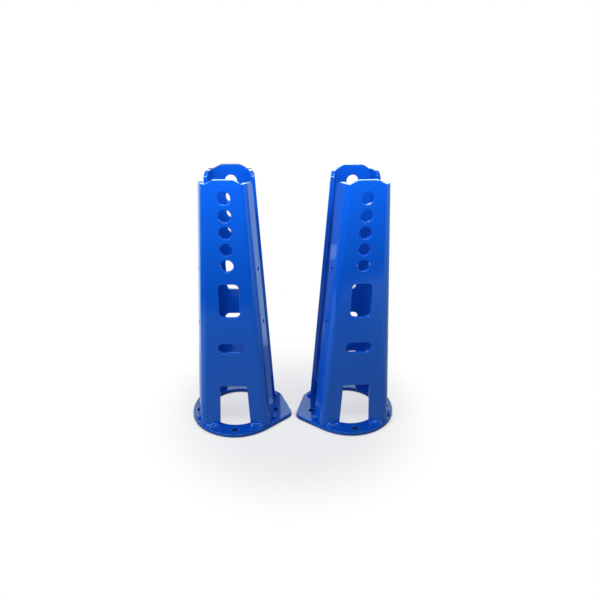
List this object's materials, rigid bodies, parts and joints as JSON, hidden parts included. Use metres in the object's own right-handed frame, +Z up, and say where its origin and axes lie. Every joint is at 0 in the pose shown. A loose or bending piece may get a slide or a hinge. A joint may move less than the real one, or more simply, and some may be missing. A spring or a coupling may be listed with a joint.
{
  "type": "shock tower pair",
  "caption": "Mirrored pair of welded steel towers, each with facing folded uprights on a bored base flange, that hold a coil-over shock on a cross bolt at a choice of heights.",
  "frame": {"origin": "on the floor, under the middle of the pair's box", "axes": "+X from the left tower to the right one, +Y to the rear, +Z up the towers"},
  "size_m": [0.3544, 0.1644, 0.4241],
  "materials": {
    "powder_coat": "gloss blue powder coat on cut and folded steel plate",
    "coated_weld": "gloss blue powder coat over rippled fillet weld"
  },
  "bodies": {
    "root": {"left_base_flange": "powder_coat", "left_front_upright": "powder_coat", "left_rear_upright": "powder_coat", "left_front_inner_face_weld": "coated_weld", "left_front_inner_flange_weld": "coated_weld", "left_front_outer_face_weld": "coated_weld", "left_front_outer_flange_weld": "coated_weld", "left_rear_inner_face_weld": "coated_weld", "left_rear_inner_flange_weld": "coated_weld", "left_rear_outer_face_weld": "coated_weld", "left_rear_outer_flange_weld": "coated_weld", "right_base_flange": "powder_coat", "right_front_upright": "powder_coat", "right_rear_upright": "powder_coat", "right_front_inner_face_weld": "coated_weld", "right_front_inner_flange_weld": "coated_weld", "right_front_outer_face_weld": "coated_weld", "right_front_outer_flange_weld": "coated_weld", "right_rear_inner_face_weld": "coated_weld", "right_rear_inner_flange_weld": "coated_weld", "right_rear_outer_face_weld": "coated_weld", "right_rear_outer_flange_weld": "coated_weld"}
  },
  "joints": []
}
